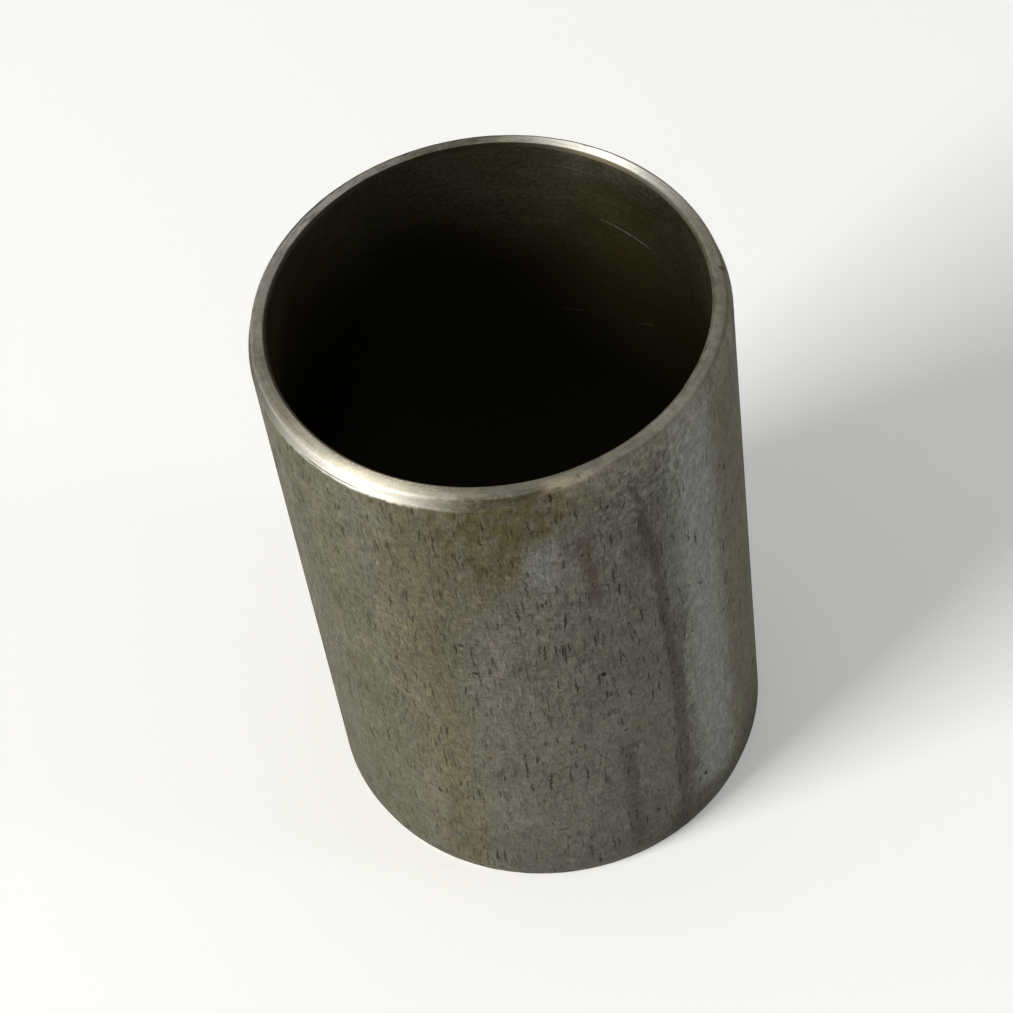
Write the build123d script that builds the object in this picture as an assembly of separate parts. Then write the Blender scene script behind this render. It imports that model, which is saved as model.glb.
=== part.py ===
from build123d import *
import os
from math import radians, tan

# Driving dimensions of the sleeve, in millimetres and degrees
bore_diameter = 55.0
wall = 2.5
length = 86.5

# Lead-in taper turned on the outside at each end, which starts the sleeve square in its housing
lead_length = 2.3
lead_angle = 15.0

# Tumbled rounding where each lead-in taper meets its end face
shoulder_radius = 0.6

# 45 degree deburring chamfer at each mouth of the bore, and the rounding where it meets the end face
deburr = 0.4
deburr_rounding = 0.2

# Radii and lengths that follow from them
bore_radius = bore_diameter / 2
outside_radius = bore_radius + wall
lead_depth = lead_length * tan(radians(lead_angle))
end_outer_radius = outside_radius - lead_depth
end_inner_radius = bore_radius + deburr

# A rounding takes this much of the flat end face for each millimetre of its radius
shoulder_setback = tan(radians(90 - lead_angle) / 2)
deburr_setback = tan(radians(45) / 2)

# The two roundings may use at most this share of the flat between their corners
rounding_share = 0.9


def corners_at(profile, radius):
    """The corners of the section that lie at this distance from the axis, one for each end."""
    return [corner for corner in profile.vertices() if abs(corner.X - radius) < 1e-6]


def section():
    """Half section through the wall, in the X-Z plane, with the axis of the sleeve at X = 0."""
    flat = end_outer_radius - end_inner_radius
    wanted = shoulder_radius * shoulder_setback + deburr_rounding * deburr_setback
    fit = min(1.0, rounding_share * flat / wanted)
    with BuildSketch(Plane.XZ) as profile:
        with BuildLine():
            Polyline(
                (bore_radius, deburr),
                (end_inner_radius, 0),
                (end_outer_radius, 0),
                (outside_radius, lead_length),
                (outside_radius, length - lead_length),
                (end_outer_radius, length),
                (end_inner_radius, length),
                (bore_radius, length - deburr),
                close=True,
            )
        make_face()
        fillet(corners_at(profile, end_outer_radius), radius=shoulder_radius * fit)
        fillet(corners_at(profile, end_inner_radius), radius=deburr_rounding * fit)
    return profile.sketch


def make_bushing():
    """One turned steel sleeve, standing on its lower end face with its axis on Z."""
    with BuildPart() as sleeve:
        add(section())
        revolve(axis=Axis.Z)
    return sleeve.part


bushing = make_bushing()
bushing.label = "bushing"

os.makedirs("parts", exist_ok=True)
export_step(bushing, "parts/bushing.step")
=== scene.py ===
import random
from math import cos, degrees, pi, radians, sin, tan

import bpy
from mathutils import Matrix, Vector, noise


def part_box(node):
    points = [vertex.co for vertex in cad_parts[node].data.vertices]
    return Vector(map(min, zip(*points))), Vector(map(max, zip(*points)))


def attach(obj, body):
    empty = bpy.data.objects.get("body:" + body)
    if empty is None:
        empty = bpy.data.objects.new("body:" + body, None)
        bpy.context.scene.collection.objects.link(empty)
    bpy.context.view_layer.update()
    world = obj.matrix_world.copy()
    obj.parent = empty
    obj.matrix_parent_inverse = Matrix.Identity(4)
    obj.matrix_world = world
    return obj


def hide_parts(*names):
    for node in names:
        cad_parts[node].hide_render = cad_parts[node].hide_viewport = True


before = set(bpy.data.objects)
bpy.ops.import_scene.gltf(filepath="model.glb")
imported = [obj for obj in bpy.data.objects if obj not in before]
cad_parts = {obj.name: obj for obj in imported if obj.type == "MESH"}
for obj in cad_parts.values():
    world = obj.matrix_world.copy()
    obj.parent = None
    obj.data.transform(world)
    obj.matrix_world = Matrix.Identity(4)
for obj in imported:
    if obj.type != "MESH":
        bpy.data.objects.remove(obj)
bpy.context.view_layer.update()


# Camera
# The sleeve stands on its end and is seen from above with a long lens. The camera is rolled a little,
# so the axis of the sleeve leans to the right at the foot.
photo_side = 1013
sensor = 36.0
focal_pixels = 3000.0
camera_distance = 0.4029
camera_elevation = radians(52.22)
camera_roll = radians(9.6)
camera_target = Vector((-0.00178, 0.00256, 0.04328))
nearest_seen = 0.02
farthest_seen = 20

camera_back = Vector((0, -cos(camera_elevation), sin(camera_elevation)))
camera_data = bpy.data.cameras.new("camera")
camera_data.sensor_width = sensor
camera_data.lens = focal_pixels / photo_side * sensor
camera_data.clip_start = nearest_seen
camera_data.clip_end = farthest_seen
camera = bpy.data.objects.new("camera", camera_data)
bpy.context.scene.collection.objects.link(camera)
camera_turn = (-camera_back).to_track_quat("-Z", "Y").to_matrix()
camera_turn = camera_turn @ Matrix.Rotation(-camera_roll, 3, "Z")
camera.matrix_world = Matrix.LocRotScale(camera_target + camera_back * camera_distance, camera_turn, None)
bpy.context.scene.camera = camera
bpy.context.scene.view_settings.view_transform = "Standard"


# Floor
# A plain white table top that the sleeve stands on. It keeps the soft shadow at the foot of the sleeve,
# and is lifted to white where the camera or a shiny surface sees it.
floor_size = 12.0
floor_colour = (0.92, 0.92, 0.91, 1)
floor_roughness = 0.9
floor_gloss = 0.2
floor_lift = 0.22


def add_node(tree, kind, inputs, **options):
    """Adds a shader node, sets its options, and fills its inputs with numbers or other nodes' outputs."""
    made = tree.nodes.new("ShaderNode" + kind)
    for option, value in options.items():
        setattr(made, option, value)
    for key, value in inputs.items():
        if isinstance(value, bpy.types.NodeSocket):
            tree.links.new(value, made.inputs[key])
        else:
            made.inputs[key].default_value = value
    return made


def maths(tree, operation, *values):
    """The result of one Math node."""
    return add_node(tree, "Math", dict(enumerate(values)), operation=operation).outputs[0]


bpy.ops.object.select_all(action="DESELECT")
bpy.ops.mesh.primitive_plane_add(size=floor_size, location=(0, 0, 0))
floor = bpy.context.object
floor.name = "floor"
floor_paint = bpy.data.materials.new("floor_paint")
floor_paint.use_nodes = True
paint = floor_paint.node_tree
paint_shader = paint.nodes["Principled BSDF"]
paint_shader.inputs["Base Color"].default_value = floor_colour
paint_shader.inputs["Roughness"].default_value = floor_roughness
paint_shader.inputs["Specular IOR Level"].default_value = floor_gloss
paint_shader.inputs["Emission Color"].default_value = floor_colour
ray = add_node(paint, "LightPath", {}).outputs
seen = maths(paint, "MAXIMUM", ray["Is Camera Ray"], ray["Is Glossy Ray"])
seen = maths(paint, "MAXIMUM", seen, ray["Is Transmission Ray"])
paint.links.new(maths(paint, "MULTIPLY", seen, floor_lift), paint_shader.inputs["Emission Strength"])
floor.data.materials.append(floor_paint)


# Light
# A room that is pale at the horizon, dimmer overhead and dimmest behind the camera. One soft lamp on the
# left makes the two bright sectors of the rim, and a weak cool window stands low on the right.
sky_overhead = 0.27
sky_horizon = 0.90
sky_fade = 0.55
sky_colour = (1.0, 0.995, 0.98, 1)
front_dimming = 0.35
lamp_aim = Vector((0, 0, 0.05))
lamp_direction = (-0.788, -0.359, 0.500)
lamp_distance = 2.2
lamp_side = 0.90
lamp_watts = 50.0
lamp_colour = (1.0, 0.985, 0.95)
window_direction = (0.93, -0.32, 0.18)
window_distance = 1.2
window_width = 0.25
window_height = 0.7
window_watts = 2.4
window_colour = (0.90, 0.95, 1.0)


def ease(tree, value, start, end, low=0.0, high=1.0):
    """Goes smoothly from low to high while the value goes from start to end."""
    inputs = {"Value": value, "From Min": start, "From Max": end, "To Min": low, "To Max": high}
    return add_node(tree, "MapRange", inputs, interpolation_type="SMOOTHSTEP").outputs[0]


world = bpy.data.worlds.new("studio")
world.use_nodes = True
bpy.context.scene.world = world
sky = world.node_tree
toward = add_node(sky, "SeparateXYZ", {0: add_node(sky, "TexCoord", {}).outputs["Generated"]}).outputs
brightness = ease(sky, toward["Z"], 0.0, sky_fade, sky_horizon, sky_overhead)
brightness = maths(sky, "MULTIPLY", brightness, ease(sky, toward["Y"], -0.9, 0.0, 1 - front_dimming, 1.0))
sky.links.new(brightness, sky.nodes["Background"].inputs["Strength"])
sky.nodes["Background"].inputs["Color"].default_value = sky_colour


def add_softbox(name, direction, distance, width, height, watts, colour):
    """A rectangular lamp that looks at the middle of the sleeve from this direction."""
    lamp = bpy.data.lights.new(name, "AREA")
    lamp.shape = "RECTANGLE"
    lamp.size = width
    lamp.size_y = height
    lamp.energy = watts
    lamp.color = colour
    softbox = bpy.data.objects.new(name, lamp)
    bpy.context.scene.collection.objects.link(softbox)
    away = Vector(direction).normalized()
    turn = (-away).to_track_quat("-Z", "Y")
    softbox.matrix_world = Matrix.LocRotScale(lamp_aim + away * distance, turn, None)


add_softbox("lamp_left", lamp_direction, lamp_distance, lamp_side, lamp_side, lamp_watts, lamp_colour)
add_softbox(
    "window_right", window_direction, window_distance, window_width, window_height, window_watts,
    window_colour,
)


# Sleeve
# The whole bushing is one piece of thin steel tube, faced and chamfered on a lathe and then tumbled.
# Only its ends are bright: the outside keeps the dull olive scale of the drawn tube, and the bore is
# nearly black.
_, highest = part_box("bushing")
outside_radius = highest.x
sleeve_length = highest.z
wall = 0.0025
bore_radius = outside_radius - wall
lead_angle = radians(15)
lead_length = 0.0023
lead_depth = lead_length * tan(lead_angle)
shoulder_radius = 0.0006
deburr = 0.0004
deburr_rounding = 0.0002
shoulder_segments = 10
mouth_segments = 3
spin_steps = 80
spin_parts = 8

bpy.ops.object.select_all(action="DESELECT")
bpy.ops.mesh.primitive_plane_add(size=1, location=(0, 0, 0))
sleeve = bpy.context.object
sleeve.name = "sleeve"
sleeve.data.transform(Matrix.Diagonal((wall, sleeve_length, 1, 1)))
sleeve.data.transform(Matrix.Rotation(pi / 2, 4, "X"))
sleeve.data.transform(Matrix.Translation((bore_radius + wall / 2, 0, sleeve_length / 2)))


def pick(mesh_object, test_point=None, test_edge=None):
    """Selects the points, or the edges by their two ends, that pass the test, and goes into edit mode."""
    bpy.ops.object.mode_set(mode="EDIT")
    bpy.ops.mesh.select_mode(type="VERT" if test_point else "EDGE")
    bpy.ops.mesh.select_all(action="DESELECT")
    bpy.ops.object.mode_set(mode="OBJECT")
    mesh = mesh_object.data
    if test_point:
        for vertex in mesh.vertices:
            vertex.select = test_point(vertex.co)
    else:
        for edge in mesh.edges:
            edge.select = test_edge(*(mesh.vertices[i].co for i in edge.vertices))
    bpy.ops.object.mode_set(mode="EDIT")


def near(a, b, tolerance=2e-6):
    return abs(a - b) < tolerance


def cut_back(radius, turn):
    """How far from a corner its rounding starts, where the outline turns by this angle."""
    return radius * tan(turn / 2)


# The section keeps only its outline, and is cut where each lead-in taper starts
bpy.ops.object.mode_set(mode="EDIT")
bpy.ops.mesh.select_all(action="SELECT")
bpy.ops.mesh.delete(type="ONLY_FACE")
for cut_height in (lead_length, sleeve_length - lead_length):
    bpy.ops.mesh.select_all(action="SELECT")
    bpy.ops.mesh.bisect(plane_co=(0, 0, cut_height), plane_no=(0, 0, 1))

shoulder_cut = cut_back(shoulder_radius, pi / 2 - lead_angle)
deburr_cut = cut_back(deburr_rounding, pi / 4)
for end_height in (0, sleeve_length):
    # the outer corner moves in to make the taper, and is rounded
    pick(sleeve, lambda p: near(p.x, outside_radius) and near(p.z, end_height))
    bpy.ops.transform.translate(value=(-lead_depth, 0, 0))
    bpy.ops.mesh.bevel(offset=shoulder_cut, segments=shoulder_segments, affect="VERTICES", profile=0.5)
    # the mouth of the bore gets its 45 degree chamfer, whose outer corner is rounded
    pick(sleeve, lambda p: near(p.x, bore_radius) and near(p.z, end_height))
    bpy.ops.mesh.bevel(offset=deburr, segments=1, affect="VERTICES")
    pick(sleeve, lambda p: near(p.x, bore_radius + deburr) and near(p.z, end_height))
    bpy.ops.mesh.bevel(offset=deburr_cut, segments=mouth_segments, affect="VERTICES", profile=0.5)

# Each stretch of the section is divided as finely as its wear and its marks need
stretches = [
    # a point inside the stretch, and how many cuts it gets
    ((outside_radius, sleeve_length / 2), 23),
    ((bore_radius, sleeve_length / 2), 15),
    ((bore_radius, lead_length / 2), 3),
    ((bore_radius, sleeve_length - lead_length / 2), 3),
]
for end_height, inwards in ((0, 1), (sleeve_length, -1)):
    stretches.append(((bore_radius + wall / 2, end_height), 8))
    stretches.append(((outside_radius - lead_depth / 2, end_height + inwards * lead_length / 2), 14))
    stretches.append(((bore_radius + deburr / 2, end_height + inwards * deburr / 2), 3))


def passes_by(a, b, spot, reach=0.0002):
    """True if the edge from a to b passes within reach of the spot, in the plane of the section."""
    along = Vector((b.x - a.x, b.z - a.z))
    to_spot = Vector((spot[0] - a.x, spot[1] - a.z))
    share = to_spot.dot(along) / along.length_squared
    return 0 < share < 1 and (to_spot - along * share).length < reach


for spot, cuts in stretches:
    pick(sleeve, test_edge=lambda a, b: passes_by(a, b, spot))
    bpy.ops.mesh.subdivide(number_cuts=cuts)

# The section is spun through one part of the circle, and copies of that part close it
axis = {"center": (0, 0, 0), "axis": (0, 0, 1)}
part_angle = 2 * pi / spin_parts
bpy.ops.mesh.select_mode(type="VERT")
bpy.ops.mesh.select_all(action="SELECT")
bpy.ops.mesh.spin(steps=spin_steps, angle=part_angle, **axis)
bpy.ops.mesh.select_all(action="SELECT")
bpy.ops.mesh.spin(steps=spin_parts - 1, angle=part_angle * (spin_parts - 1), dupli=True, **axis)
bpy.ops.mesh.select_all(action="SELECT")
bpy.ops.mesh.remove_doubles(threshold=1e-6)
bpy.ops.mesh.normals_make_consistent(inside=False)
bpy.ops.object.mode_set(mode="OBJECT")
bpy.ops.object.select_all(action="DESELECT")

# Wear in the metal itself. The tube is a little out of round, tumbling has taken more off the shoulders in
# some places than in others, and both shoulders carry a few small knocks.
out_of_round = 0.00003
tumbling_unevenness = 0.00005
unworn_band = 0.0010
waves_round_tube = 1.4
waves_up_tube = 12
broad_waves = 9
fine_waves = 31
knocks_per_end = 16
knock_insets = (0.0002, 0.0009)
knock_reaches = (0.0003, 0.0009)
knock_depths = (0.00002, 0.00007)
smooth_angle = radians(30)
random.seed(11)
knocks = []
for end_height in (0, sleeve_length):
    for _ in range(knocks_per_end):
        around = random.uniform(-pi, pi)
        spot = Vector((sin(around), -cos(around), 0)) * (outside_radius - random.uniform(*knock_insets))
        spot.z = end_height
        knocks.append((spot, random.uniform(*knock_reaches), random.uniform(*knock_depths)))

for vertex in sleeve.data.vertices:
    place = vertex.co.copy()
    outward = Vector((place.x, place.y, 0)).normalized()
    upper_half = place.z > sleeve_length / 2
    from_end = min(place.z, sleeve_length - place.z)
    end_nearness = max(0.0, 1 - from_end / lead_length)
    outer_nearness = max(0.0, (outward.dot(place) - bore_radius - unworn_band) / (wall - unworn_band))
    tube_wave = noise.noise(Vector((outward.x, outward.y, place.z * waves_up_tube)) * waves_round_tube)
    shift = -outward * out_of_round * (0.5 + 0.5 * tube_wave)
    taken_off = 0.0
    if end_nearness > 0:
        which_end = Vector((0, 0, 10 if upper_half else 0))
        broad_wave = noise.noise(outward * broad_waves + which_end)
        fine_wave = noise.noise(outward * fine_waves + which_end)
        edge_wave = broad_wave * 0.6 + fine_wave * 0.4
        taken_off = tumbling_unevenness * end_nearness * outer_nearness * max(0.0, 0.4 + edge_wave)
        for spot, reach, depth in knocks:
            gap = (place - spot).length
            if gap < reach:
                taken_off += depth * (1 - (gap / reach) ** 2) ** 2
    # the worn shoulder faces out and away from the middle of the tube
    inwards = Vector((0, 0, -0.8 if upper_half else 0.8)) - outward * 0.6
    vertex.co = place + shift + inwards * taken_off

bpy.context.view_layer.objects.active = sleeve
sleeve.select_set(True)
bpy.ops.object.shade_smooth_by_angle(angle=smooth_angle)
sleeve.select_set(False)


# Finishes of the sleeve
# Every pattern is laid out in millimetres on the sleeve: round it in degrees from the front, positive to
# the right, up it from the lower end face, out from its axis, and away from the nearer end face.
metre_to_mm = 1000.0
outside_mm = outside_radius * metre_to_mm
bore_mm = bore_radius * metre_to_mm
length_mm = sleeve_length * metre_to_mm
lead_mm = lead_length * metre_to_mm


def scaled(tree, value, factor, plus=0.0):
    """The value times a factor, with a number added."""
    return maths(tree, "MULTIPLY_ADD", value, factor, plus)


def gap_to(tree, value, middle):
    """How far the value is from the middle, on either side."""
    return maths(tree, "ABSOLUTE", maths(tree, "SUBTRACT", value, middle))


def vector(tree, x, y, z):
    return add_node(tree, "CombineXYZ", {"X": x, "Y": y, "Z": z}).outputs[0]


def stretch(tree, where, x, y, z, shift=0.0):
    """A place multiplied by these three numbers, so a pattern there is that much finer each way."""
    inputs = {0: where, 1: (x, y, z), 2: (shift, 0.0, 0.0)}
    return add_node(tree, "VectorMath", inputs, operation="MULTIPLY_ADD").outputs[0]


def cloud(tree, where, scale=1.0, detail=2.0, roughness=0.5):
    """A soft random value around a half."""
    inputs = {"Vector": where, "Scale": scale, "Detail": detail, "Roughness": roughness}
    return add_node(tree, "TexNoise", inputs).outputs["Fac"]


def patches(tree, where, across, along, shift=0.0, detail=2.0, roughness=0.5):
    """A soft random value, finer the larger its two scales are, across and along the tube."""
    stretched = stretch(tree, where, across, across, along, shift)
    return cloud(tree, stretched, detail=detail, roughness=roughness)


def blend_colour(tree, share, first, second, how="MIX"):
    """The first colour, with this share of the second one mixed in."""
    mix = add_node(tree, "Mix", {}, data_type="RGBA", blend_type=how)
    for index, value in ((0, share), (6, first), (7, second)):
        if isinstance(value, bpy.types.NodeSocket):
            tree.links.new(value, mix.inputs[index])
        else:
            mix.inputs[index].default_value = value
    return mix.outputs[2]


def multiplied(tree, colour, strength):
    """The colour times a varying strength."""
    return blend_colour(tree, 1.0, colour, strength, how="MULTIPLY")


def vary(tree, colour, pattern, swing, usual=1.0):
    """The colour made darker and lighter by up to the swing, as the pattern goes round a half."""
    return multiplied(tree, colour, ease(tree, pattern, 0.3, 0.7, usual - swing, usual + swing))


def start_group(name, inputs, outputs):
    """An empty node group with number inputs, given with their usual values, and number outputs."""
    group = bpy.data.node_groups.new(name, "ShaderNodeTree")
    for title, usual in inputs.items():
        socket = group.interface.new_socket(title, in_out="INPUT", socket_type="NodeSocketFloat")
        socket.default_value = usual
    for title in outputs:
        group.interface.new_socket(title, in_out="OUTPUT", socket_type="NodeSocketFloat")
    return group, group.nodes.new("NodeGroupInput").outputs, group.nodes.new("NodeGroupOutput").inputs


def use_group(tree, group, inputs):
    """Places a node group in a material or in another group, and returns its outputs."""
    placed = add_node(tree, "Group", {}, node_tree=group)
    for key, value in inputs.items():
        if isinstance(value, bpy.types.NodeSocket):
            tree.links.new(value, placed.inputs[key])
        else:
            placed.inputs[key].default_value = value
    return placed.outputs


def object_mm(tree):
    """The place on the sleeve in millimetres, as a vector and as its three numbers."""
    here = add_node(tree, "TexCoord", {}).outputs["Object"]
    mm = add_node(tree, "VectorMath", {0: here, "Scale": metre_to_mm}, operation="SCALE").outputs[0]
    split = add_node(tree, "SeparateXYZ", {0: mm}).outputs
    return mm, split[0], split[1], split[2]


def warp(tree, where, scale, amount):
    """The place pushed about by up to half this amount, over distances of about one over the scale."""
    push = add_node(tree, "TexNoise", {"Vector": where, "Scale": scale, "Detail": 1.0}).outputs["Color"]
    centred = add_node(tree, "VectorMath", {0: push, 1: (0.5, 0.5, 0.5)}, operation="SUBTRACT").outputs[0]
    inputs = {0: centred, 1: (amount, amount, amount), 2: where}
    return add_node(tree, "VectorMath", inputs, operation="MULTIPLY_ADD").outputs[0]


# Where a point lies on the sleeve. Off Seam is 0 at the very back, where the degrees jump from 180 to -180
places, _, found = start_group("places", {}, ["Around", "Arc", "Outwards", "From End", "Off Seam"])
_, x, y, z = object_mm(places)
azimuth = maths(places, "ARCTAN2", x, maths(places, "MULTIPLY", y, -1.0))
around = maths(places, "MULTIPLY", azimuth, degrees(1))
places.links.new(around, found["Around"])
places.links.new(maths(places, "MULTIPLY", azimuth, outside_mm), found["Arc"])
squares = maths(places, "ADD", maths(places, "MULTIPLY", x, x), maths(places, "MULTIPLY", y, y))
places.links.new(maths(places, "SQRT", squares), found["Outwards"])
places.links.new(maths(places, "MINIMUM", z, maths(places, "SUBTRACT", length_mm, z)), found["From End"])
places.links.new(ease(places, maths(places, "ABSOLUTE", around), 179.0, 176.0), found["Off Seam"])

# Fine lines round the sleeve, left by the lathe and rubbed by the tumbler on the ends, and by the hone in
# the bore
marks, given, found = start_group("turning marks", {"Pitch": 0.3, "Length": 30.0, "Seed": 0.0}, ["Marks"])
here = use_group(marks, places, {})
_, x, y, _ = object_mm(marks)
across = maths(marks, "ADD", here["Outwards"], here["From End"])
across = maths(marks, "ADD", maths(marks, "DIVIDE", across, given["Pitch"]), given["Seed"])
along_x = maths(marks, "DIVIDE", x, given["Length"])
along_y = maths(marks, "DIVIDE", y, given["Length"])
lines = cloud(marks, vector(marks, across, along_x, along_y), detail=3.0, roughness=0.6)
marks.links.new(lines, found["Marks"])

# Ticks in the scale: short wavy cracks and pits, each a flat ellipse round one of many scattered points
ticks, given, found = start_group(
    "ticks", {"Across": 1.0, "Along": 9.0, "Reach": 0.13, "Share": 0.5, "Seed": 0.0}, ["Ticks"]
)
here = use_group(ticks, places, {})
_, _, _, z = object_mm(ticks)
bent = warp(ticks, vector(ticks, here["Arc"], z, 5.3), 0.9, 0.6)
bent = warp(ticks, bent, 3.7, 0.32)
arc, up, _ = add_node(ticks, "SeparateXYZ", {0: bent}).outputs[:3]
across = maths(ticks, "DIVIDE", arc, given["Across"])
along = maths(ticks, "DIVIDE", up, given["Along"])
seeds = vector(ticks, given["Seed"], given["Seed"], 0.0)
where = vector(ticks, across, along, 0.0)
where = add_node(ticks, "VectorMath", {0: where, 1: seeds}, operation="ADD").outputs[0]
cells = add_node(ticks, "TexVoronoi", {"Vector": where, "Scale": 1.0}, voronoi_dimensions="2D").outputs
lot = add_node(ticks, "SeparateColor", {0: cells["Color"]}).outputs
chosen = maths(ticks, "MULTIPLY", maths(ticks, "LESS_THAN", lot[0], given["Share"]), here["Off Seam"])
reach = maths(ticks, "MULTIPLY", given["Reach"], scaled(ticks, lot[1], 1.0, 0.4))
inside = ease(ticks, cells["Distance"], reach, maths(ticks, "MULTIPLY", reach, 0.5))
depth = scaled(ticks, maths(ticks, "MULTIPLY", lot[2], lot[2]), 0.75, 0.25)
ticks.links.new(maths(ticks, "MULTIPLY", maths(ticks, "MULTIPLY", inside, depth), chosen), found["Ticks"])

# A streak along the tube, which wanders a little as it goes
streak, given, found = start_group(
    "streak",
    {
        "Centre": 0.0, "Wander": 3.0, "Half Width": 2.0, "Edge": 1.0, "Ragged": 2.0,
        "Foot": -9.0, "Top": 99.0, "Fade": 4.0, "Seed": 0.0,
    },
    ["Streak"],
)
here = use_group(streak, places, {})
mm, _, _, z = object_mm(streak)
slow = vector(streak, given["Seed"], maths(streak, "MULTIPLY", z, 0.045), 0.0)
sway = maths(streak, "SUBTRACT", cloud(streak, slow, detail=2.0, roughness=0.55), 0.5)
middle = maths(streak, "MULTIPLY_ADD", sway, given["Wander"], given["Centre"])
off = maths(streak, "MULTIPLY", gap_to(streak, here["Around"], middle), radians(1) * outside_mm)
rough = patches(streak, mm, 0.7, 0.4, detail=4.0, roughness=0.65)
off = maths(streak, "MULTIPLY_ADD", maths(streak, "SUBTRACT", rough, 0.5), given["Ragged"], off)
outer = maths(streak, "ADD", given["Half Width"], given["Edge"])
inner = maths(streak, "SUBTRACT", given["Half Width"], given["Edge"])
side = ease(streak, off, outer, inner)
foot = ease(streak, z, given["Foot"], maths(streak, "ADD", given["Foot"], given["Fade"]))
top = ease(streak, z, given["Top"], maths(streak, "SUBTRACT", given["Top"], given["Fade"]))
streak.links.new(maths(streak, "MULTIPLY", side, maths(streak, "MULTIPLY", foot, top)), found["Streak"])


# Outside and ends of the sleeve
# The scale is what is left of the drawn tube's surface. At both ends the lathe and the tumbler have bared
# the steel: most of the taper at the left and the back of the upper end, and elsewhere little more than
# the end face and the shoulder.
olive_scale = (0.094, 0.091, 0.050, 1)
grey_scale = (0.114, 0.107, 0.087, 1)
khaki_scale = (0.098, 0.086, 0.045, 1)
tan_scale = (0.136, 0.117, 0.082, 1)
green_scale = (0.124, 0.130, 0.098, 1)
yellow_stain = (0.067, 0.057, 0.017, 1)
rubbed_and_sheen_scale = (0.190, 0.192, 0.174, 1)
pale_scale = (0.170, 0.172, 0.160, 1)
worn_scale = (0.200, 0.184, 0.140, 1)
dark_scale = (0.040, 0.035, 0.026, 1)
rust_brown = (0.058, 0.040, 0.028, 1)
crack_black = (0.014, 0.009, 0.001, 1)
speck_white = (0.300, 0.290, 0.240, 1)
bared_steel = (0.665, 0.630, 0.515, 1)
polished_highlight_steel = (0.940, 0.920, 0.850, 1)
grease_and_shade_brown = (0.050, 0.043, 0.024, 1)
rust_red = (0.100, 0.050, 0.026, 1)
tarnished_steel = (0.180, 0.168, 0.132, 1)
stained_steel = (0.120, 0.103, 0.050, 1)
tan_bloom = (0.600, 0.505, 0.360, 1)
pale_bloom = (0.520, 0.530, 0.450, 1)
pink_bloom = (0.440, 0.345, 0.290, 1)
relief_unit = 0.00001

outside = bpy.data.materials.new("scaled_and_bared_steel")
outside.use_nodes = True
steel = outside.node_tree
shader = steel.nodes["Principled BSDF"]
here = use_group(steel, places, {})
around, outwards, from_end = here["Around"], here["Outwards"], here["From End"]
away_from_front = maths(steel, "ABSOLUTE", around)
mm, _, _, height = object_mm(steel)
from_top = maths(steel, "SUBTRACT", length_mm, height)


def streak_at(centre, **sizes):
    """The share of a streak, whose sizes are in millimetres and its centre in degrees from the front."""
    inputs = {"Centre": centre}
    inputs.update({key.replace("_", " ").title(): value for key, value in sizes.items()})
    return use_group(steel, streak, inputs)["Streak"]


def lay(colour, share, over, most=1.0):
    """Lays a colour over what is there, as far as the share says and no more than the most."""
    if most < 1.0:
        share = maths(steel, "MULTIPLY", share, most)
    return blend_colour(steel, share, colour, over)


def times(*shares):
    """The product of shares, some of which may be plain numbers."""
    product = shares[0]
    for share in shares[1:]:
        product = maths(steel, "MULTIPLY", product, share)
    return product


def strongest(*shares):
    """The largest of several shares."""
    largest = shares[0]
    for share in shares[1:]:
        largest = maths(steel, "MAXIMUM", largest, share)
    return largest


def without(share, most=1.0):
    """What is left where up to this much is taken away."""
    return scaled(steel, share, -most, 1.0)


def near_azimuth(middle, outer, inner, most=1.0):
    """Rises from 0 to its most as the azimuth comes from outer to inner degrees of the middle."""
    return ease(steel, gap_to(steel, around, middle), outer, inner, 0.0, most)


# colour of the scale, in broad bands and patches
drawn = patches(steel, mm, 0.07, 0.006, detail=3.0)
colour = lay(olive_scale, ease(steel, drawn, 0.42, 0.60), grey_scale, 0.5)
colour = lay(colour, near_azimuth(6.0, 36.0, 20.0), grey_scale)
khaki_band = streak_at(-32.0, wander=8.0, half_width=3.6, edge=2.6, seed=8.0)
colour = lay(colour, khaki_band, khaki_scale, 0.8)
behind = ease(steel, away_from_front, 70.0, 100.0)
for drawn_shift, drawn_colour in ((50.0, khaki_scale), (72.0, rubbed_and_sheen_scale), (95.0, dark_scale)):
    drawn = patches(steel, mm, 0.14, 0.010, drawn_shift, detail=3.0)
    colour = lay(colour, times(ease(steel, drawn, 0.50, 0.68), behind), drawn_colour, 0.6)
green_patches = patches(steel, mm, 0.30, 0.16, detail=3.0, roughness=0.6)
colour = lay(colour, ease(steel, green_patches, 0.54, 0.68), green_scale, 0.6)
tan_patches = patches(steel, mm, 0.38, 0.20, 31.0, detail=3.0, roughness=0.6)
colour = lay(colour, ease(steel, tan_patches, 0.55, 0.70), tan_scale, 0.6)
colour = vary(steel, colour, patches(steel, mm, 0.17, 0.10, 13.7, detail=2.0), 0.10, usual=0.99)

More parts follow.
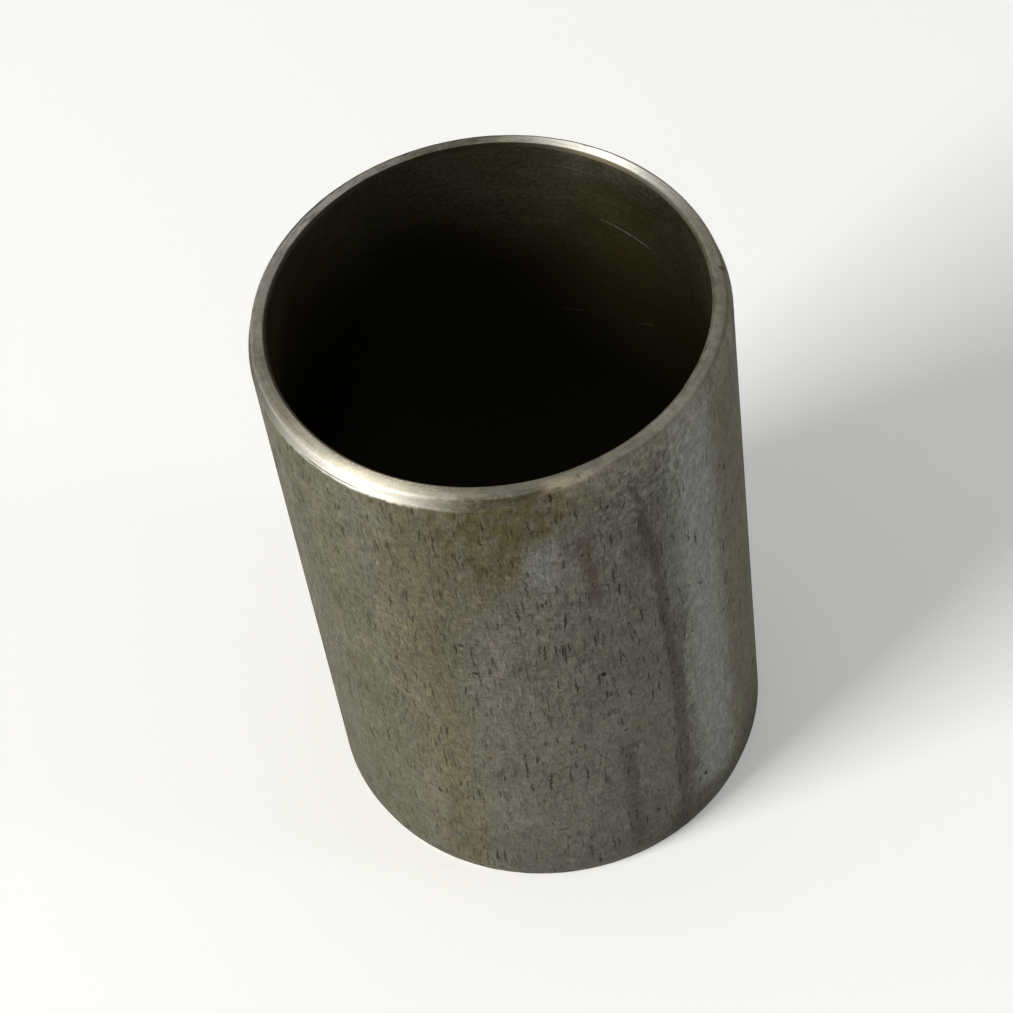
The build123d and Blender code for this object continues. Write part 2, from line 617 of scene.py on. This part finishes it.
# the yellow stain under the rim ends on a slant, from high on the right to lower on the left
slant_rise = 0.78
slant_at_front = 73.0
slant_height = scaled(steel, around, slant_rise, slant_at_front)
ragged = scaled(steel, cloud(steel, mm, 0.45, detail=4.0, roughness=0.65), 9.0, -4.5)
above_slant = maths(steel, "ADD", maths(steel, "SUBTRACT", height, slant_height), ragged)
stain_left = ease(steel, around, -36.0, -14.0)
stain_right = ease(steel, around, 19.0, 8.0)
stain = times(ease(steel, above_slant, -2.0, 3.5), stain_left, stain_right)
drips = patches(steel, mm, 0.5, 0.22, 9.0, detail=4.0, roughness=0.65)
stain = times(stain, ease(steel, height, 62.0, 79.0, 0.45, 1.0), ease(steel, drips, 0.36, 0.58, 0.45, 1.0))
colour = lay(colour, stain, yellow_stain, 0.95)
under_bloom = times(near_azimuth(12.5, 8.0, 4.0), ease(steel, from_top, 9.0, 3.5))
under_bloom = times(under_bloom, ease(steel, drips, 0.36, 0.6, 0.5, 1.0))
colour = lay(colour, under_bloom, yellow_stain, 0.42)
pale_patch = streak_at(
    2.5, wander=1.0, half_width=2.0, edge=1.4, ragged=3.5, foot=66.0, top=79.0, fade=5.0, seed=5.0
)
colour = lay(colour, pale_patch, pale_scale, 0.72)

# the light stripe, partly rubbed scale and partly a painted sheen of the window on the right, with a tide
# mark on its left
stripe_azimuth = 44.8
rubbed_and_sheen = streak_at(
    stripe_azimuth, wander=1.5, half_width=4.2, edge=2.5, ragged=8.0, foot=3.5, fade=5.0, seed=1.0
)
colour = lay(colour, rubbed_and_sheen, rubbed_and_sheen_scale, 0.8)
tide = times(ease(steel, rubbed_and_sheen, 0.02, 0.2), ease(steel, rubbed_and_sheen, 0.7, 0.35), ease(steel, around, 44.0, 41.0))
tide = times(tide, ease(steel, height, 44.0, 62.0, 1.0, 0.3))
colour = lay(colour, tide, dark_scale, 0.36)

# the long dark run beside the stripe, which bends to the left above and below its upright part
run_azimuth = 32.9
run_bend = 0.0021
run_upright_at = 28.0
run_head_azimuth = 28.3
up_run = maths(steel, "SUBTRACT", height, run_upright_at)
run_centre = scaled(steel, maths(steel, "MULTIPLY", up_run, up_run), -run_bend, run_azimuth)
beside_run = streak_at(
    36.3, wander=2.0, half_width=1.7, edge=1.0, ragged=4.0, foot=47.0, top=84.0, fade=7.0, seed=4.0
)
colour = lay(colour, beside_run, green_scale, 0.5)
for half_width, run_foot, run_top, darkest in ((0.74, 38.0, 86.0, 0.72), (1.05, -20.0, 56.0, 0.55)):
    dark_run = streak_at(
        run_centre, wander=2.6, half_width=half_width, edge=0.45, ragged=2.4, foot=run_foot, top=run_top,
        fade=14.0, seed=2.0,
    )
    colour = lay(colour, dark_run, dark_scale, darkest)
run_head = streak_at(
    run_head_azimuth, wander=0.5, half_width=0.9, edge=0.7, ragged=2.2, foot=63.0, top=76.0, seed=3.0
)
colour = lay(colour, run_head, grease_and_shade_brown, 0.70)

# two shorter runs, and a short bar across the top of the lower one
low_run_azimuth = 17.0
rusty_run_azimuth = 13.5
low_run = streak_at(
    low_run_azimuth, wander=5.0, half_width=1.0, edge=0.7, ragged=3.0, foot=2.0, top=29.0, seed=6.0
)
colour = lay(colour, low_run, dark_scale, 0.52)
bar = times(ease(steel, maths(steel, "ABSOLUTE", up_run), 0.8, 0.3), near_azimuth(17.5, 3.6, 2.4))
colour = lay(colour, bar, dark_scale, 0.45)
rusty_run = streak_at(
    rusty_run_azimuth, wander=2.0, half_width=0.95, edge=0.6, ragged=2.5, foot=60.0, top=78.0, seed=7.0
)
colour = lay(colour, rusty_run, rust_brown, 0.62)

# wear towards the rim on the right, the line at the foot of the taper there, painted shade at the foot on
# the right, and colour darker towards the lower end
worn = times(ease(steel, from_top, 6.0, 1.4), near_azimuth(42.0, 42.0, 28.0))
worn = times(worn, ease(steel, drips, 0.38, 0.56, 0.3, 1.0))
colour = lay(colour, worn, worn_scale, 0.55)
taper_line = times(ease(steel, gap_to(steel, from_top, lead_mm), 0.3, 0.08), near_azimuth(37.0, 18.0, 10.0))
colour = lay(colour, taper_line, worn_scale, 0.5)
above_foot = maths(steel, "ADD", height, ragged)
shaded_foot = times(near_azimuth(48.0, 40.0, 18.0), ease(steel, above_foot, 9.0, 1.0))
colour = lay(colour, shaded_foot, dark_scale, 0.75)
colour = multiplied(steel, colour, ease(steel, height, 2.0, 22.0, 0.86, 1.0))

# blotches where the worn rim meets the scale on the right
blotch = ease(steel, patches(steel, mm, 0.9, 0.9, 43.0, detail=2.0), 0.38, 0.62)
blotched = times(near_azimuth(32.0, 16.0, 9.0), ease(steel, from_top, 17.0, 9.0))
blotched = times(blotched, ease(steel, from_top, 1.0, 2.5))
blotch = times(maths(steel, "SUBTRACT", blotch, 0.5), blotched)
colour = multiplied(steel, colour, scaled(steel, blotch, 0.5, 1.0))

# grain of the scale
mottle = patches(steel, mm, 0.9, 0.6, detail=4.0, roughness=0.7)
fine = cloud(steel, vector(steel, times(here["Arc"], 4.2), times(height, 1.1), 5.5), roughness=0.7)
weft = cloud(steel, vector(steel, times(here["Arc"], 0.8), times(height, 4.6), 17.5), roughness=0.7)
for grain_pattern, swing in ((mottle, 0.23), (fine, 0.24), (weft, 0.14)):
    colour = vary(steel, colour, grain_pattern, swing)

# ticks: many at the front and high up, fewer towards the sides and on the light stripe
front_half = near_azimuth(-12.0, 58.0, 30.0)
patchy = ease(steel, cloud(steel, mm, 0.13), 0.35, 0.62)
crowd = maths(steel, "MULTIPLY_ADD", front_half, 0.48, scaled(steel, patchy, 0.34, 0.08))
crowd = maths(steel, "MULTIPLY_ADD", near_azimuth(35.5, 8.0, 3.0), 0.35, crowd)
crowd = times(crowd, without(ease(steel, rubbed_and_sheen, 0.4, 0.9), 0.85))
crowd = times(crowd, ease(steel, from_end, 1.5, 4.0, 0.35, 1.0), ease(steel, height, 8.0, 62.0, 0.6, 1.45))


def ticks_of(strength, **sizes):
    """One layer of ticks, with millimetres between them each way and their reach as a share of those."""
    inputs = {"Share": crowd}
    inputs.update({key.title(): value for key, value in sizes.items()})
    return maths(steel, "MULTIPLY", use_group(steel, ticks, inputs)["Ticks"], strength)


broken = strongest(
    ticks_of(1.00, across=1.00, along=10.0, reach=0.140, seed=31.4),
    ticks_of(1.00, across=1.40, along=12.0, reach=0.115, seed=83.7),
    ticks_of(0.90, across=0.80, along=6.5, reach=0.170, seed=37.5),
    ticks_of(0.60, across=0.50, along=3.4, reach=0.220, seed=47.6),
    ticks_of(0.50, across=0.45, along=2.0, reach=0.250, seed=67.2),
    ticks_of(0.50, across=3.20, along=0.7, reach=0.200, seed=53.4),
    ticks_of(0.50, across=3.10, along=1.1, reach=0.150, seed=95.6),
    ticks_of(1.00, across=4.60, along=8.0, reach=0.070, seed=59.5),
    ticks_of(0.90, across=1.10, along=24.0, reach=0.105, seed=22.7),
)
pale_specks = ticks_of(0.35, across=4.40, along=5.6, reach=0.055, seed=71.3)
colour = blend_colour(steel, pale_specks, colour, speck_white)
ragged_mm = warp(steel, mm, 1.3, 0.9)


def spot_at(azimuth, radius, spot_height, reach):
    """The share of a small ragged spot with its middle at this place."""
    middle = (radius * sin(radians(azimuth)), -radius * cos(radians(azimuth)), spot_height)
    gap = add_node(steel, "VectorMath", {0: ragged_mm, 1: middle}, operation="DISTANCE").outputs["Value"]
    return ease(steel, gap, reach, reach * 0.4)


# a few deeper pits: azimuth, height and reach
deeper_pits = ((-17.5, 50.6, 0.5), (-20.0, 56.6, 0.45), (13.0, 46.7, 0.6), (44.2, 51.9, 0.4))
for azimuth, pit_height, reach in deeper_pits:
    broken = strongest(broken, spot_at(azimuth, outside_mm, pit_height, reach))
scale_colour = blend_colour(steel, broken, colour, crack_black)

# how far in from the end faces the steel is bare: deepest on the left and behind, and only at the upper end
bare_azimuth = -48.0
bare_back = ease(steel, away_from_front, 88.0, 110.0, 0.0, 0.7)
bare_side = strongest(near_azimuth(bare_azimuth, 68.0, 36.0), bare_back)
bare_side = times(bare_side, ease(steel, height, 20.0, 60.0))
soft_side = near_azimuth(62.0, 78.0, 44.0)
uneven = cloud(steel, mm, 0.6, detail=4.0, roughness=0.65)
wobble = times(maths(steel, "SUBTRACT", uneven, 0.5), scaled(steel, bare_side, -1.5, 2.3))
bared_depth = maths(steel, "ADD", scaled(steel, bare_side, 1.7, 0.35), wobble)
soft_edge = scaled(steel, soft_side, 0.45, 0.25)
bare_from = maths(steel, "ADD", bared_depth, soft_edge)
bare_to = maths(steel, "SUBTRACT", bared_depth, soft_edge)
bared = times(ease(steel, from_end, bare_from, bare_to), without(soft_side, 0.25))

# the bare steel is polished in two bright sectors and a duller one, and tarnished on the taper. The two
# bright sectors are where the lamp's highlights fall, so their lighter colour, and the lighter taper there,
# are partly painted highlight
front_highlight_azimuth = -38.0
back_highlight_azimuth = 137.0
front_clean_and_highlight = near_azimuth(front_highlight_azimuth, 54.0, 20.0)
back_shine_and_highlight = near_azimuth(back_highlight_azimuth, 34.0, 14.0)
polish_and_highlight = times(front_clean_and_highlight, ease(steel, from_end, 0.05, 0.4, 0.1, 0.8))
polish_and_highlight = strongest(polish_and_highlight, back_shine_and_highlight, near_azimuth(-128.0, 50.0, 15.0, 0.6))
metal_colour = blend_colour(steel, polish_and_highlight, bared_steel, polished_highlight_steel)
tarnish_start = scaled(steel, bare_side, 0.35, -0.1)
tarnish = ease(steel, from_end, tarnish_start, maths(steel, "ADD", tarnish_start, 0.4))
tarnish = times(tarnish, without(near_azimuth(-43.0, 58.0, 0.0), 0.7))
metal_colour = lay(metal_colour, tarnish, tarnished_steel)

# stains and dull spots on it
stained_front = times(ease(steel, around, -25.0, -8.0), ease(steel, around, 14.0, 4.0))
stained_front = times(stained_front, ease(steel, from_top, -0.2, 0.5))
stained = strongest(stained_front, ease(steel, away_from_front, 165.0, 177.0, 0.0, 0.5))
stain_pattern = cloud(steel, mm, 1.3, detail=4.0, roughness=0.7)
stained = times(stained, ease(steel, stain_pattern, 0.36, 0.58, 0.45, 1.0))
metal_colour = lay(metal_colour, stained, stained_steel, 0.9)
metal_colour = lay(metal_colour, soft_side, tarnished_steel, 0.25)
dull_spots = times(ease(steel, uneven, 0.42, 0.62), without(strongest(front_clean_and_highlight, polish_and_highlight)))
metal_colour = lay(metal_colour, dull_spots, tarnished_steel, 0.30)

# lines of the lathe and the tumbler, and a fine grain
lathe_lines = use_group(steel, marks, {"Pitch": 0.16, "Length": 9.0})["Marks"]
wide_lines = use_group(steel, marks, {"Pitch": 0.6, "Length": 7.0, "Seed": 20.0})["Marks"]
grain = cloud(steel, mm, 3.2, detail=3.0, roughness=0.7)
for metal_pattern, swing in ((lathe_lines, 0.10), (wide_lines, 0.09), (grain, 0.08), (mottle, 0.04)):
    metal_colour = vary(steel, metal_colour, metal_pattern, swing)

# the tan bloom of old grease on the front of the shoulder, paler in its middle and pink on its right
bloom_azimuth = 13.0
bloom = times(near_azimuth(bloom_azimuth, 12.0, 4.0), ease(steel, from_top, 1.5, 0.6))
bloom = times(bloom, ease(steel, outwards, 28.0, 28.6))
bloom_patches = cloud(steel, stretch(steel, mm, 0.6, 1.2, 1.2), detail=4.0)
speckled = cloud(steel, mm, 4.5, detail=3.0, roughness=0.75)
bloom = times(bloom, ease(steel, bloom_patches, 0.34, 0.60), ease(steel, speckled, 0.36, 0.56, 0.5, 1.0))
bloom_colour = lay(tan_bloom, ease(steel, around, 15.0, 19.0), pink_bloom)
pale_middle = times(near_azimuth(15.3, 3.2, 0.8), ease(steel, grain, 0.40, 0.56))
bloom_colour = lay(bloom_colour, pale_middle, pale_bloom)
metal_colour = lay(metal_colour, bloom, bloom_colour, 0.95)

# grime in short arcs, grease towards the mouth of the bore, darkest on its left, and a dark line on the
# shoulder at the back, partly grease and partly a painted dark reflection where the shoulder curves away
grime = use_group(steel, marks, {"Pitch": 0.42, "Length": 2.6, "Seed": 40.0})["Marks"]
grime = times(ease(steel, grime, 0.52, 0.64), without(back_shine_and_highlight, 0.8), without(soft_side, 0.7))
grime = times(grime, without(near_azimuth(-64.0, 66.0, 44.0), 0.75))
metal_colour = lay(metal_colour, grime, stained_steel, 0.45)
greasy = ease(steel, outwards, bore_mm + 0.5, bore_mm + 0.2)
metal_colour = lay(metal_colour, greasy, stained_steel, 0.7)
metal_colour = lay(metal_colour, times(greasy, near_azimuth(-105.0, 75.0, 25.0)), grease_and_shade_brown, 0.8)
inner_band = times(ease(steel, outwards, bore_mm + 1.25, bore_mm + 0.55), near_azimuth(-32.0, 30.0, 14.0))
inner_band = times(inner_band, ease(steel, speckled, 0.40, 0.58, 0.35, 1.0))
metal_colour = lay(metal_colour, inner_band, stained_steel, 0.62)
back_half = ease(steel, away_from_front, 108.0, 136.0)
grease_and_dark_reflection_line = times(ease(steel, from_end, 0.004, 0.04), ease(steel, from_end, 0.7, 0.35), back_half)
metal_colour = lay(metal_colour, grease_and_dark_reflection_line, grease_and_shade_brown, 0.85)

# a groove turned into the taper on the left, and rust on the taper and on the shoulder
groove_azimuth = -47.0
groove_from_top = 1.74
rust_from_top = 1.9
groove = ease(steel, gap_to(steel, from_top, groove_from_top), 0.13, 0.04)
groove = times(groove, near_azimuth(groove_azimuth, 10.0, 6.0))
metal_colour = lay(metal_colour, groove, grease_and_shade_brown, 0.8)
rust_line = ease(steel, gap_to(steel, from_top, rust_from_top), 0.16, 0.05)
rust = strongest(
    times(rust_line, near_azimuth(-7.0, 7.0, 4.0), 0.6),
    # azimuth, radius, height and reach of each spot
    spot_at(89.8, 29.2, length_mm, 0.7),
    spot_at(-5.8, 29.7, length_mm - 0.9, 0.35),
    spot_at(-120.0, 29.0, length_mm, 0.3),
)
bared = times(bared, without(rust))
scale_colour = lay(scale_colour, rust, rust_red)
colour = lay(scale_colour, bared, metal_colour)
steel.links.new(colour, shader.inputs["Base Color"])
steel.links.new(times(bared, without(bloom, 0.5)), shader.inputs["Metallic"])

scale_roughness = maths(steel, "MULTIPLY_ADD", mottle, 0.24, scaled(steel, broken, 0.3, 0.46))
metal_roughness = maths(steel, "MULTIPLY_ADD", lathe_lines, 0.16, scaled(steel, back_shine_and_highlight, -0.09, 0.60))
roughness = add_node(steel, "Mix", {0: bared, 2: scale_roughness, 3: metal_roughness}).outputs[0]
steel.links.new(roughness, shader.inputs["Roughness"])

# relief, in hundredths of a millimetre
scale_relief = maths(steel, "MULTIPLY_ADD", broken, -4.0, times(mottle, 4.0))
scale_relief = maths(steel, "MULTIPLY_ADD", fine, 1.4, scale_relief)
metal_relief = maths(steel, "MULTIPLY_ADD", wide_lines, 0.8, times(lathe_lines, 0.4))
metal_relief = maths(steel, "MULTIPLY_ADD", groove, -3.0, metal_relief)
relief = add_node(steel, "Mix", {0: bared, 2: scale_relief, 3: metal_relief}).outputs[0]


def finish_surface(tree, shader, relief, gloss, brushed):
    """Gives a material its relief, its gloss, and highlights drawn out by the lines round the axis."""
    bump = add_node(tree, "Bump", {"Height": relief, "Distance": relief_unit, "Strength": 1.0}).outputs[0]
    tree.links.new(bump, shader.inputs["Normal"])
    shader.inputs["Specular IOR Level"].default_value = gloss
    shader.inputs["Anisotropic"].default_value = brushed
    shader.inputs["Anisotropic Rotation"].default_value = 0.25
    round_the_axis = add_node(tree, "Tangent", {}, direction_type="RADIAL", axis="Z").outputs[0]
    tree.links.new(round_the_axis, shader.inputs["Tangent"])


finish_surface(steel, shader, relief, gloss=0.25, brushed=0.88)


# Bore of the sleeve
# It was honed, and is now nearly black with old grease and scale. Its colour is painted lighter near its
# ends and at the back, as light and shade for how far the light reaches in. One long light scratch and two
# faint ones run part of the way round.
bore_black = (0.0050, 0.0039, 0.0009, 1)
lit_bore_grey = (0.0230, 0.0205, 0.0124, 1)
scratch_grey = (0.150, 0.145, 0.125, 1)
lit_smoke_grey = (0.052, 0.050, 0.038, 1)
yellow_gloss = (0.90, 0.78, 0.32, 1)

bore = bpy.data.materials.new("blackened_bore")
bore.use_nodes = True
dark = bore.node_tree
shader = dark.nodes["Principled BSDF"]
here = use_group(dark, places, {})
mm, _, _, height = object_mm(dark)
hone_lines = use_group(dark, marks, {"Pitch": 0.30, "Length": 12.0, "Seed": 60.0})["Marks"]
smear = patches(dark, mm, 0.10, 0.14, detail=4.0, roughness=0.6)
# painted light and shade: lighter near the ends and at the back, where the lamp reaches in, and darker
# deeper in
near_end = ease(dark, here["From End"], 25.0, 0.0)
painted_light_share = maths(dark, "MULTIPLY", near_end, ease(dark, smear, 0.3, 0.7, 0.5, 1.3))
away_from_front = maths(dark, "ABSOLUTE", here["Around"])
painted_light_share = maths(dark, "MULTIPLY", painted_light_share, ease(dark, away_from_front, 126.0, 174.0, 0.72, 1.8))
colour = blend_colour(dark, painted_light_share, bore_black, lit_bore_grey)
# a smoky grey just inside the mouth at the back, partly a film and partly painted light where the lamp
# reaches the back wall
smoke_and_light = ease(dark, gap_to(dark, here["Around"], 139.0), 22.0, 6.0)
smoke_and_light = maths(dark, "MULTIPLY", smoke_and_light, ease(dark, here["From End"], 7.0, 1.0))
smoke_and_light = maths(dark, "MULTIPLY", smoke_and_light, ease(dark, smear, 0.35, 0.6, 0.3, 0.9))
colour = blend_colour(dark, smoke_and_light, colour, lit_smoke_grey)
speck = patches(dark, mm, 1.6, 2.4, detail=3.0, roughness=0.75)
for bore_pattern, swing in ((hone_lines, 0.16), (speck, 0.42)):
    colour = vary(dark, colour, bore_pattern, swing)


def scratch_at(middle, middle_height, reach, rise, half_width, strength):
    """A scratch that climbs by its rise in each degree, and fades at its reach from the middle."""
    beside = maths(dark, "SUBTRACT", here["Around"], middle)
    gap = gap_to(dark, height, scaled(dark, beside, rise, middle_height))
    faded = ease(dark, maths(dark, "ABSOLUTE", beside), reach, reach * 0.2, 0.0, strength)
    return maths(dark, "MULTIPLY", ease(dark, gap, half_width, half_width * 0.3), faded)


long_scratch = scratch_at(134.0, 74.35, reach=13.5, rise=0.075, half_width=0.16, strength=0.62)
level_scratch = scratch_at(155.5, 55.1, reach=5.0, rise=-0.04, half_width=0.25, strength=0.22)
steep_scratch = scratch_at(130.5, 57.6, reach=4.5, rise=-0.26, half_width=0.25, strength=0.18)
scratches = maths(dark, "MAXIMUM", maths(dark, "MAXIMUM", long_scratch, level_scratch), steep_scratch)
scratch_share = maths(dark, "MULTIPLY", scratches, ease(dark, speck, 0.3, 0.6))
colour = blend_colour(dark, scratch_share, colour, scratch_grey)
dark.links.new(colour, shader.inputs["Base Color"])
dark.links.new(scaled(dark, hone_lines, 0.2, 0.5), shader.inputs["Roughness"])
relief = maths(dark, "MULTIPLY_ADD", scratches, -1.0, scaled(dark, hone_lines, 0.4))
relief = maths(dark, "ADD", relief, speck)
shader.inputs["Specular Tint"].default_value = yellow_gloss
finish_surface(dark, shader, relief, gloss=0.14, brushed=0.7)

sleeve.data.materials.append(outside)
sleeve.data.materials.append(bore)
bore_slack = 0.00002
bore_limit = bore_radius + bore_slack
for face in sleeve.data.polygons:
    face.material_index = 1 if Vector((face.center.x, face.center.y)).length < bore_limit else 0

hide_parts("bushing")
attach(sleeve, "root")
